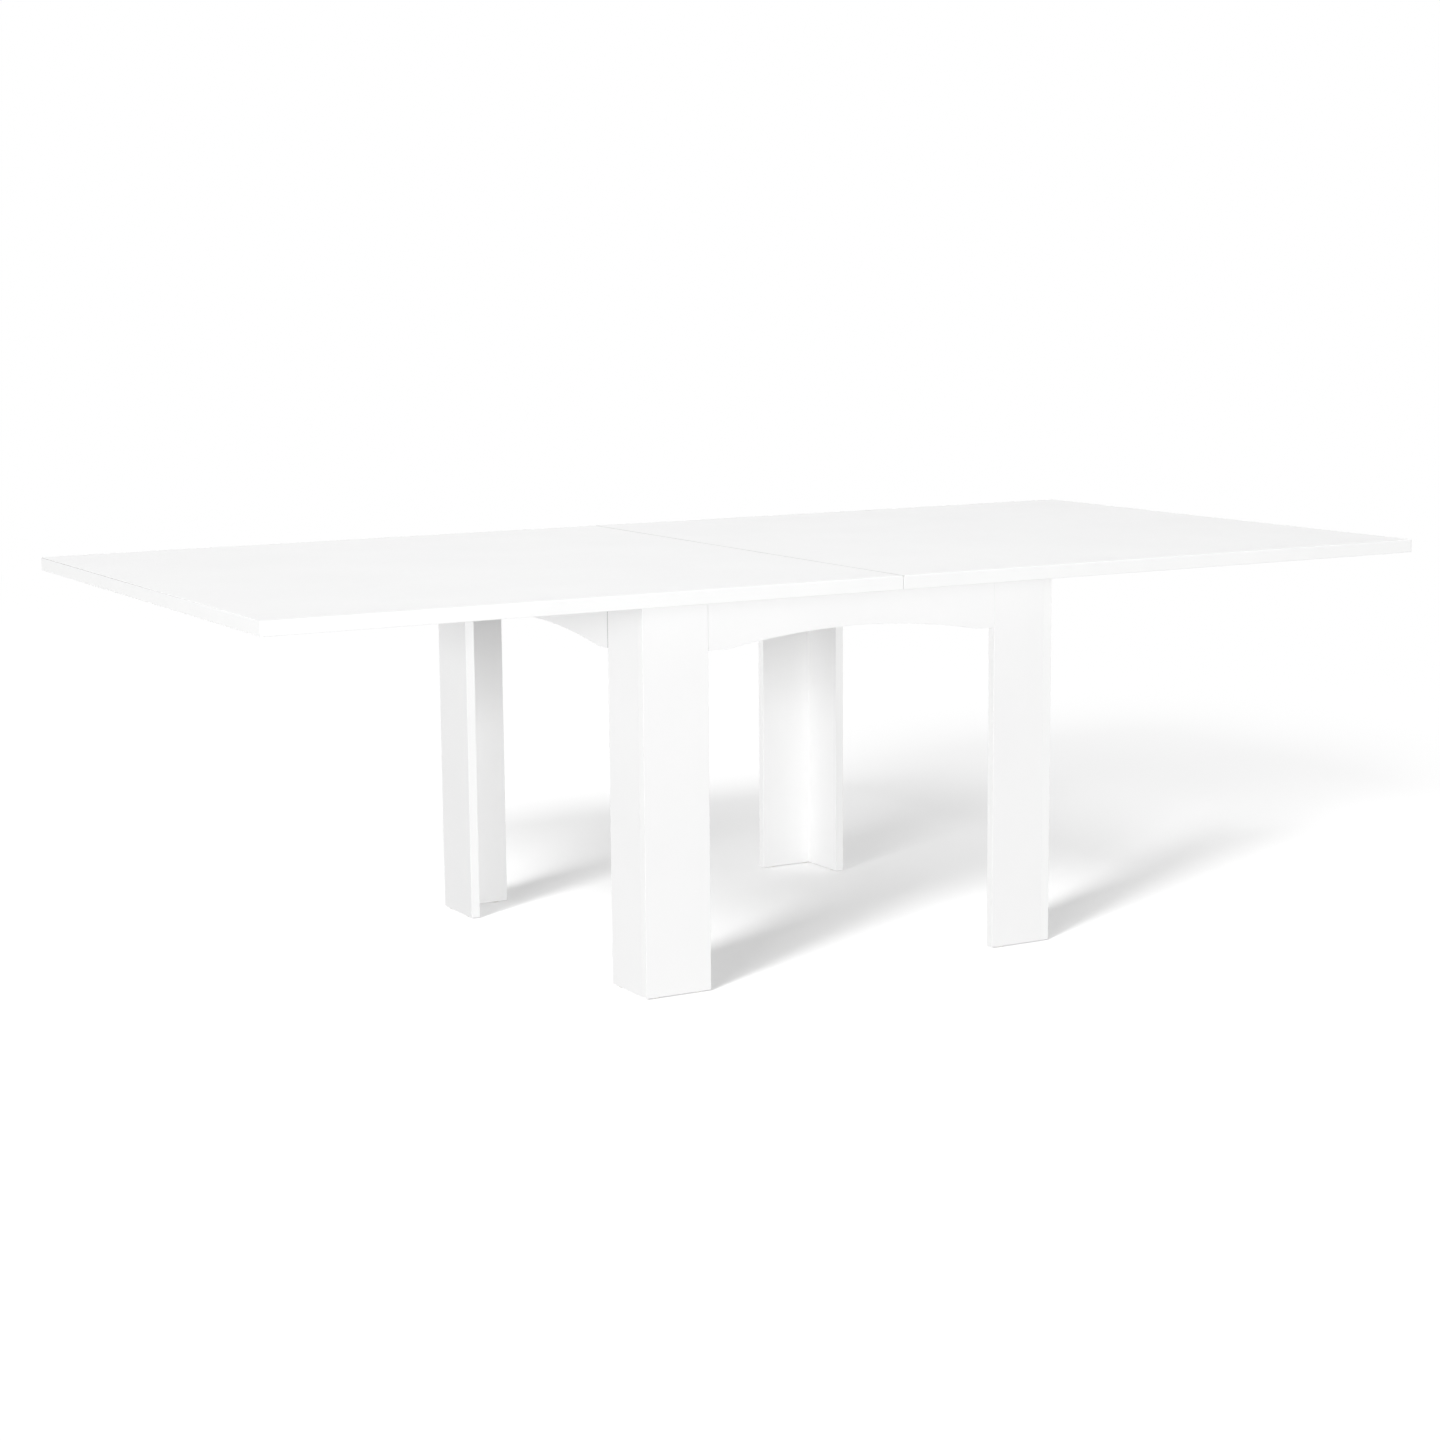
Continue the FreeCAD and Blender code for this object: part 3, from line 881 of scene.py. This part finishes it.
def crease(mesh: bpy.types.Mesh, degrees: float) -> None:
    """Shades a mesh smooth, apart from its sharp edges.

    Args:
        mesh: The mesh to shade.
        degrees: Angle past which an edge stays sharp.
    """
    work = bmesh.new()
    work.from_mesh(mesh)
    for face in work.faces:
        face.smooth = True
    limit = math.radians(degrees)
    for edge in work.edges:
        edge.smooth = len(edge.link_faces) == 2 and edge.calc_face_angle(0.0) < limit
    work.to_mesh(mesh)
    work.free()


def placed(mesh: bpy.types.Mesh) -> bpy.types.Object:
    """Puts a mesh into the scene as an object of its name at the origin.

    Args:
        mesh: The mesh.

    Returns:
        The new object.
    """
    made = bpy.data.objects.new(mesh.name, mesh)
    bpy.context.scene.collection.objects.link(made)
    return made


def dress(node: str, finish: Finish) -> None:
    """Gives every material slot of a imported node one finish.

    Args:
        node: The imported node.
        finish: The finish of all its faces.
    """
    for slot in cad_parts[node].material_slots:
        slot.material = material_of(finish)
    LOG.info("%s keeps its mesh, in %s", node, finish.name)


def corners_of(node: str) -> tuple[Point, Point]:
    """Gives a node's box as plain numbers, for a finish to keep."""
    low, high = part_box(node)
    return tuple(low), tuple(high)


@dataclass
class Leaf:
    """One half of the top: board, edging strips and its hinge barrels."""

    side: str
    line_drop: float = 0.1 * MM
    line_width: float = 1.1 * MM
    seam_shade: float = 2.6 * MM
    skin: float = 0.4 * MM

    def edging(self) -> Edging:
        """Sets the dark line on this leaf's outer end and the painted shade along its seam.

        Returns:
            The finish of the strips.
        """
        low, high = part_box(self.side + "_leaf_edging")
        top = high.z - self.line_drop
        reach = max(abs(low.x), abs(high.x))
        return Edging(
            self.side + "_leaf_strip",
            end_at=reach - self.skin,
            painted_seam_reach=self.seam_shade,
            line_low=top - self.line_width,
            line_high=top,
        )

    def dress(self) -> None:
        """Dresses the leaf's board, strips and barrels."""
        dress(self.side + "_leaf_board", BOARD)
        dress(self.side + "_leaf_edging", self.edging())
        dress(self.side + "_hinge_barrels", BRASS)


@dataclass
class FoldLinks:
    """The curved links between the two sets of barrels."""

    sides: tuple[str, ...] = ("left", "right")

    def dress(self) -> None:
        """Dresses both sets of links."""
        for side in self.sides:
            dress(side + "_hinge_links", GROUND)


def stand_in(mesh: bpy.types.Mesh, node: str, slot: str) -> None:
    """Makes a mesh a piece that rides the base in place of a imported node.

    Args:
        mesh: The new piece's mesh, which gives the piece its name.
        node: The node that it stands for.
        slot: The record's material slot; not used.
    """
    piece = placed(mesh)
    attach(piece, "base")
    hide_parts(node)
    LOG.info("%s stands for %s, %d faces", piece.name, node, len(piece.data.polygons))


@dataclass
class Turned:
    """Small turned parts of the base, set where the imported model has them."""

    finish: Finish
    slot: str
    suffix: str
    axis: Axis | None = None

    def outline(self) -> Outline:
        """Draws the part; each kind has its own outline."""
        raise NotImplementedError

    def seat(self, part: Island) -> tuple[Vector, Vector]:
        """Gives the place of a part's lower end, and the direction that it points in."""
        return part.narrow_end(), part.outward()

    def build(self, node: str) -> None:
        """Builds all parts of one node as one piece.

        Args:
            node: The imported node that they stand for.
        """
        found = Islands(node).all(self.axis)
        tree = TurnedTree(node + "_turned", self.outline())
        seats = [self.seat(part) for part in found]
        mesh = tree.bake(node + self.suffix, seats, found[0].radius, found[0].length, self.finish)
        stand_in(mesh, node, self.slot)


@dataclass
class Screws(Turned):
    """Pan-head screws with a cross recess."""

    finish: Finish = ZINC
    slot: str = "zinc_steel"
    suffix: str = "_detailed"
    head_share: float = 0.138
    shank_radius: float = 0.5
    tip_share: float = 0.16
    crown_radius: float = 0.78
    recess_radius: float = 0.56
    recess_depth: float = 0.62
    recess_taper: float = 0.62
    recess_lobes: int = 4
    recess_lobe_depth: float = 0.52
    segments: int = 32

    def outline(self) -> Outline:
        """Draws the screw from its tip to the floor of its recess.

        Returns:
            The outline.
        """
        head, shank, recess = self.head_share, self.shank_radius, self.recess_radius
        seat = 1.0 - head
        floor = 1.0 - head * self.recess_depth
        corners = (
            Corner(0.0, 0.0),
            Corner(shank * 0.3, self.tip_share * 0.2),
            Corner(shank, self.tip_share),
            Corner(shank, seat),
            Corner(0.97, seat),
            Corner(1.0, seat + head * 0.06),
            Corner(1.0, seat + head * 0.45),
            Corner(0.93, seat + head * 0.86),
            Corner(self.crown_radius, 1.0),
            Corner(recess, 1.0, 1.0),
            Corner(recess * self.recess_taper, floor, 1.0),
            Corner(0.0, floor - head * 0.12),
        )
        return Outline(corners, self.segments, self.recess_lobes, self.recess_lobe_depth)


@dataclass
class Dowels(Turned):
    """Fluted beech dowels with chamfered ends."""

    finish: Finish = BEECH
    slot: str = "beech"
    suffix: str = "_fluted"
    flutes: int = 18
    flute_points: int = 4
    flute_depth: float = 0.09
    chamfer_share: float = 0.04
    chamfer_radius: float = 0.8

    def outline(self) -> Outline:
        """Draws the dowel from end to end.

        Returns:
            The outline, with its flutes.
        """
        cut = self.chamfer_share
        corners = (
            Corner(0.0, 0.0),
            Corner(self.chamfer_radius, 0.0),
            Corner(1.0, cut, 1.0),
            Corner(1.0, 1.0 - cut, 1.0),
            Corner(self.chamfer_radius, 1.0),
            Corner(0.0, 1.0),
        )
        return Outline(corners, self.flutes * self.flute_points, self.flutes, self.flute_depth)


@dataclass
class Glides(Turned):
    """Nail-on glides under the legs, domed below, with a pin above."""

    finish: Finish = NYLON
    slot: str = "nylon"
    suffix: str = "_turned"
    axis: Axis | None = Axis.Z
    foot_share: float = 0.2
    pin_radius: float = 0.2667
    segments: int = 36

    def outline(self) -> Outline:
        """Draws the glide from its foot to the point of its pin.

        Returns:
            The outline.
        """
        foot, pin = self.foot_share, self.pin_radius
        corners = (
            Corner(0.0, 0.0),
            Corner(0.74, 0.0),
            Corner(0.9, foot * 0.12),
            Corner(0.98, foot * 0.36),
            Corner(1.0, foot * 0.6),
            Corner(0.98, foot),
            Corner(pin, foot),
            Corner(pin, 0.86),
            Corner(pin * 0.4, 0.98),
            Corner(0.0, 1.0),
        )
        return Outline(corners, self.segments)

    def seat(self, part: Island) -> tuple[Vector, Vector]:
        """Gives the middle of a glide's foot, and the direction up."""
        middle = (part.low + part.high) / 2
        return Vector((middle.x, middle.y, part.low.z)), Vector((0.0, 0.0, 1.0))


@dataclass
class FeltStrips:
    """Felt strips under the leaves, pressed flat, with soft edges and a loose surface."""

    step: float = 3.0 * MM
    edge_drop: float = 0.45 * MM
    edge_run: float = 1.8 * MM
    fuzz: float = 0.12 * MM
    fuzz_scale: float = 260.0
    sharp_from: float = 55.0

    def strip(self, work: bmesh.types.BMesh, part: Island) -> None:
        """Adds one strip to a mesh.

        Args:
            work: The mesh that grows.
            part: The strip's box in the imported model.
        """
        size = part.size
        counts = [max(2, round(size[i] / self.step)) for i in range(2)]
        made = bmesh.ops.create_grid(
            work, x_segments=counts[0], y_segments=counts[1], size=0.5, matrix=Matrix()
        )["verts"]
        lids = bmesh.ops.extrude_face_region(
            work, geom=list({face for vert in made for face in vert.link_faces})
        )["geom"]
        upper = [item for item in lids if isinstance(item, bmesh.types.BMVert)]
        for vert in made + upper:
            spot = [part.low[i] + (vert.co[i] + 0.5) * size[i] for i in range(2)]
            inset = min(min(spot[i] - part.low[i], part.high[i] - spot[i]) for i in range(2))
            soft = max(0.0, 1.0 - inset / self.edge_run) * self.edge_drop
            rough = (0.5 + 0.5 * noise.noise(Vector((*spot, 0.0)) * self.fuzz_scale)) * self.fuzz
            height = part.high.z - soft - rough if vert in upper else part.low.z
            vert.co = Vector((*spot, height))

    def build(self, node: str) -> None:
        """Builds all strips of one node as one piece.

        Args:
            node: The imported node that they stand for.
        """
        work = bmesh.new()
        for part in Islands(node).all():
            self.strip(work, part)
        bmesh.ops.recalc_face_normals(work, faces=work.faces)
        mesh = bpy.data.meshes.new(node + "_pressed")
        work.to_mesh(mesh)
        work.free()
        mesh.materials.append(material_of(FELT))
        crease(mesh, self.sharp_from)
        stand_in(mesh, node, "felt")


@dataclass
class Base:
    """Legs, aprons, their bands and the rails inside."""

    corners: tuple[str, ...] = ("front_left", "front_right", "back_right", "back_left")
    panels: tuple[str, ...] = ("wide", "narrow")
    sides: tuple[str, ...] = ("front", "right", "back", "left")
    rails: tuple[str, ...] = ("pivot_rail", "support_rail")
    joint_shade_width: float = 0.9 * MM

    def dress_panels(self) -> None:
        """Dresses legs and aprons, with raw chipboard on their upper ends and painted shade at the joints
        of the side aprons.
        """
        box = corners_of(self.corners[0] + "_leg_wide_panel")
        sawn = Melamine("panel_melamine", bare=Bare.TOPS, box=box)
        for corner in self.corners:
            for kind in self.panels:
                dress(f"{corner}_leg_{kind}_panel", sawn)
        reach = corners_of("left_apron")[1][Axis.Y.value]
        joint_shaded = Melamine("side_melamine", bare=Bare.TOPS, box=box, joint_shade_from=reach - self.joint_shade_width)
        for side in self.sides:
            dress(side + "_apron", joint_shaded if side in ("left", "right") else sawn)
        for bands in ("leg_edge_bands", "apron_edge_bands"):
            dress(bands, BAND)

    def dress_rails(self) -> None:
        """Dresses the rails, with raw chipboard where they were sawn, and their steel."""
        for rail in self.rails:
            dress(rail, Melamine(rail + "_melamine", bare=Bare.EDGES, box=corners_of(rail)))
        for plate in ("joint_plates", "rail_brackets"):
            dress(plate, ZINC)
        dress("pivot_bush", NYLON)

    def build(self) -> None:
        """Dresses the base and builds its small fittings."""
        self.dress_panels()
        self.dress_rails()
        Dowels().build("leg_dowels")
        Dowels().build("apron_dowels")
        Glides().build("leg_glides")
        FeltStrips().build("glide_felts")
        Screws().build("joint_plate_screws")
        Screws().build("rail_bracket_screws")


@dataclass
class Swivel:
    """The off-centre swivel under the left leaf."""

    fittings: tuple[str, ...] = ("plate", "plate_screws", "bolt", "washer", "nut")

    def dress(self) -> None:
        """Dresses the swivel's steel."""
        for fitting in self.fittings:
            dress("swivel_" + fitting, ZINC)
        dress("stop_stud", ZINC)


class Reach(Enum):
    """What a lamp lights: all but some groups of objects, or these groups alone."""

    TABLE = ("EXCLUDE", "floor")
    FLOOR = ("INCLUDE", "floor")
    FORE = ("EXCLUDE", "floor", "back_left", "back_right")
    BACK_LEGS = ("INCLUDE", "back_left", "back_right")
    BACK_LEFT = ("INCLUDE", "back_left")
    BACK_RIGHT = ("INCLUDE", "back_right")


class Shade(Enum):
    """What casts a lamp's shadow: everything, or some groups of objects alone."""

    ALL = ()
    LEFT = ("left_leaf", "front_left", "back_left", "front_right")
    RIGHT = ("right_leaf",)
    LEGS = ("front_left", "back_left", "front_right", "back_right")


def heading(bearing: float, elevation: float) -> Vector:
    """Gives the direction towards a place by its bearing from +X and its elevation, in degrees."""
    turn, rise = math.radians(bearing), math.radians(elevation)
    return Vector((math.cos(turn) * math.cos(rise), math.sin(turn) * math.cos(rise), math.sin(rise)))


@dataclass(frozen=True)
class Lamp:
    """A lamp aimed at the table, whose level is the light that a surface facing it gets there."""

    name: str
    bearing: float
    elevation: float
    level: float
    distance: float = 14.0
    aim: Point = (0.0, 0.0, 0.45)
    reach: Reach = Reach.TABLE
    shade: Shade = Shade.ALL

    def light(self) -> bpy.types.Light:
        """Makes the light itself; each kind of lamp has its own."""
        raise NotImplementedError

    def listed(self, use: str, word: str, items: list[bpy.types.Object]) -> bpy.types.Collection:
        """Lists objects for the lamp's light or for its shadow.

        Args:
            use: What the list is for.
            word: Whether the lamp keeps to these objects or leaves them out.
            items: The objects.

        Returns:
            The list, as a collection.
        """
        made = bpy.data.collections.new(f"{self.name}_{use}")
        for item in items:
            made.objects.link(item)
        for entry in made.collection_objects:
            entry.light_linking.link_state = word
        return made

    def build(self, groups: dict[str, list[bpy.types.Object]]) -> None:
        """Builds the lamp.

        Args:
            groups: The objects that some lamps keep to or leave out, by the group's name.
        """
        lamp = bpy.data.objects.new(self.name, self.light())
        bpy.context.scene.collection.objects.link(lamp)
        back = heading(self.bearing, self.elevation)
        lamp.location = Vector(self.aim) + back * self.distance
        lamp.rotation_mode = "QUATERNION"
        lamp.rotation_quaternion = (-back).to_track_quat("-Z", "Y")
        lamp.visible_glossy = False
        word, *names = self.reach.value
        lit = [item for name in names for item in groups[name]]
        lamp.light_linking.receiver_collection = self.listed("lit", word, lit)
        if self.shade is not Shade.ALL:
            casting = [item for name in self.shade.value for item in groups[name]]
            lamp.light_linking.blocker_collection = self.listed("casting", "INCLUDE", casting)


@dataclass(frozen=True)
class SoftBox(Lamp):
    """A wide soft lamp."""

    width: float = 5.0
    height: float = 4.2

    def light(self) -> bpy.types.Light:
        """Makes a rectangular area light of the lamp's level.

        Returns:
            The light.
        """
        light = bpy.data.lights.new(self.name, "AREA")
        light.shape = "RECTANGLE"
        light.size, light.size_y = self.width, self.height
        light.energy = self.level * math.pi**2 * self.distance**2
        return light


@dataclass(frozen=True)
class SoftSun(Lamp):
    """A far lamp for the floor, whose shadows are soft and run side by side."""

    reach: Reach = Reach.FLOOR
    spread: float = 10.0

    def light(self) -> bpy.types.Light:
        """Makes a sun of the lamp's level.

        Returns:
            The light.
        """
        light = bpy.data.lights.new(self.name, "SUN")
        light.angle = math.radians(self.spread)
        light.energy = self.level * math.pi
        return light


@dataclass
class Studio:
    """Pale floor, white surroundings, soft lamps and the camera."""

    ambient: float = 0.42
    floor_side: float = 80.0
    floor_tone: float = 0.70
    bounce: float = 0.54
    fade_start: float = -0.5
    fade_end: float = 4.3
    shadow_bearing: float = 212.0
    # Each lamp has its name, its bearing and elevation in degrees, and its level.
    lamps: tuple[Lamp, ...] = (
        SoftSun("left_sun", 209.5, 27.8, 0.916, shade=Shade.LEFT, spread=10.5),
        SoftSun("right_sun", 222.0, 23.0, 0.984, shade=Shade.RIGHT, spread=13.0),
        SoftSun("leg_sun", 215.0, 26.0, 0.552, shade=Shade.LEGS, spread=21.0),
        SoftBox("front_left_lamp", 250.0, 3.4, 0.17, reach=Reach.FORE, height=2.2),
        SoftBox("front_right_lamp", 290.0, 3.4, 0.17, reach=Reach.FORE, height=2.2),
        SoftBox("left_lamp", 211.0, 4.2, 0.47, distance=12.0, reach=Reach.FORE, height=1.9),
        SoftBox("back_left_leg_lamp", 290.0, 8.8, 0.40, reach=Reach.BACK_LEFT, height=4.2),
        SoftBox("back_right_leg_lamp", 254.0, 9.2, 0.32, reach=Reach.BACK_RIGHT, height=4.6),
        SoftBox("back_legs_lamp", 204.0, 7.0, 0.445, distance=12.0, reach=Reach.BACK_LEGS, height=2.9),
        SoftBox("back_lamp", 98.0, 6.5, 0.30),
        SoftBox("right_lamp", 21.0, 3.8, 0.34, distance=18.0, height=2.8),
        SoftBox("top_lamp", 226.0, 84.0, 0.52, distance=8.0, aim=(-0.4, -0.3, 0.75), width=3.0, height=3.0),
    )
    photo_side: float = 1440.0
    focal_pixels: float = 2826.5
    sensor: float = 36.0
    view_reach: float = 200.0
    stand: Point = (-2.7336, -4.7761, 1.2874)
    yaw: float = 0.514
    pitch: float = 0.158
    roll: float = -0.008

    @staticmethod
    def seen(graph: Graph) -> Wire:
        """Gives 1 for rays from the camera, and for those in gloss or glass."""
        ray = graph.add("ShaderNodeLightPath", out="Is Camera Ray")
        return (ray + ray.also("Is Glossy Ray") + ray.also("Is Transmission Ray")).maths("MINIMUM", 1.0)

    def surround(self) -> None:
        """Builds the world: soft white light, plain white where it is seen."""
        world = bpy.data.worlds.new("white_studio")
        world.use_nodes = True
        bpy.context.scene.world = world
        graph = Graph(world.node_tree)
        soft = graph.add("ShaderNodeBackground", {"Strength": self.ambient, "Color": WHITE})
        white = graph.add("ShaderNodeBackground", {"Color": WHITE})
        mixed = graph.add("ShaderNodeMixShader", {0: self.seen(graph), 1: soft, 2: white})
        graph.add("ShaderNodeOutputWorld", {"Surface": mixed})

    def floor_material(self) -> bpy.types.Material:
        """Builds the floor's material, which takes the shadow and fades into plain white.

        Returns:
            The material.
        """
        made = bpy.data.materials.new("pale_floor")
        made.use_nodes = True
        graph = Graph(made.node_tree)
        tone = self.floor_tone
        matt = graph.add("ShaderNodeBsdfDiffuse", {"Color": (tone, tone, tone, 1.0)})
        # Towards the table the floor glows evenly, standing in for the light that it bounces; the camera
        # sees the shaded floor instead.
        back = graph.add("ShaderNodeEmission", {"Color": WHITE, "Strength": self.bounce})
        white = graph.add("ShaderNodeEmission", {"Color": WHITE})
        down_light = heading(self.shadow_bearing + 180.0, 0.0)
        sockets = {0: graph.place(), 1: tuple(down_light)}
        along = graph.add("ShaderNodeVectorMath", sockets, "Value", operation="DOT_PRODUCT")
        sockets = {"Value": along, "From Min": self.fade_start, "From Max": self.fade_end}
        fade = graph.add("ShaderNodeMapRange", sockets, interpolation_type="SMOOTHSTEP")
        shown = graph.add("ShaderNodeMixShader", {0: fade, 1: matt, 2: white})
        mixed = graph.add("ShaderNodeMixShader", {0: self.seen(graph), 1: back, 2: shown})
        graph.add("ShaderNodeOutputMaterial", {"Surface": mixed})
        return made

    def floor(self) -> bpy.types.Object:
        """Builds the floor.

        Returns:
            The floor.
        """
        half = self.floor_side / 2
        mesh = bpy.data.meshes.new("studio_floor")
        rim = [(-half, -half, 0.0), (half, -half, 0.0), (half, half, 0.0), (-half, half, 0.0)]
        mesh.from_pydata(rim, [], [(0, 1, 2, 3)])
        mesh.materials.append(self.floor_material())
        ground = placed(mesh)
        return ground

    def camera(self) -> None:
        """Builds the camera at the photograph's viewing angle."""
        data = bpy.data.cameras.new("camera")
        data.sensor_width = self.sensor
        data.lens = self.focal_pixels / self.photo_side * self.sensor
        data.clip_end = self.view_reach
        bearing = 90.0 - math.degrees(self.yaw)
        ahead = heading(bearing, -math.degrees(self.pitch))
        level = heading(bearing - 90.0, 0.0)
        upright = level.cross(ahead)
        right = math.cos(self.roll) * level + math.sin(self.roll) * upright
        up = math.cos(self.roll) * upright - math.sin(self.roll) * level
        eye = bpy.data.objects.new("camera", data)
        bpy.context.scene.collection.objects.link(eye)
        eye.rotation_mode = "QUATERNION"
        eye.rotation_quaternion = Matrix((right, up, -ahead)).transposed().to_quaternion()
        eye.location = Vector(self.stand)
        bpy.context.scene.camera = eye

    @staticmethod
    def groups() -> dict[str, list[bpy.types.Object]]:
        """Gives the legs and leaves that some lamps tell apart.

        Returns:
            The objects of each group, by the group's name.
        """
        base = Base()
        found = {
            corner: [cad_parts[f"{corner}_leg_{kind}_panel"] for kind in base.panels]
            for corner in base.corners
        }
        for leaf in ("left_leaf", "right_leaf"):
            found[leaf] = [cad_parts[f"{leaf}_{piece}"] for piece in ("board", "edging")]
        return found

    def build(self) -> None:
        """Builds the whole studio."""
        bpy.context.scene.view_settings.view_transform = "Standard"
        self.surround()
        groups = self.groups()
        groups["floor"] = [self.floor()]
        for lamp in self.lamps:
            lamp.build(groups)
        self.camera()
        LOG.info("studio with %d lamps", len(self.lamps))


def main() -> None:
    """Builds the studio and dresses the table, piece by piece."""
    logging.basicConfig(level=logging.INFO, format="%(name)s: %(message)s")
    Studio().build()
    Base().build()
    for side in ("left", "right"):
        Leaf(side).dress()
    FoldLinks().dress()
    Swivel().dress()


if __name__ == "__main__":
    main()
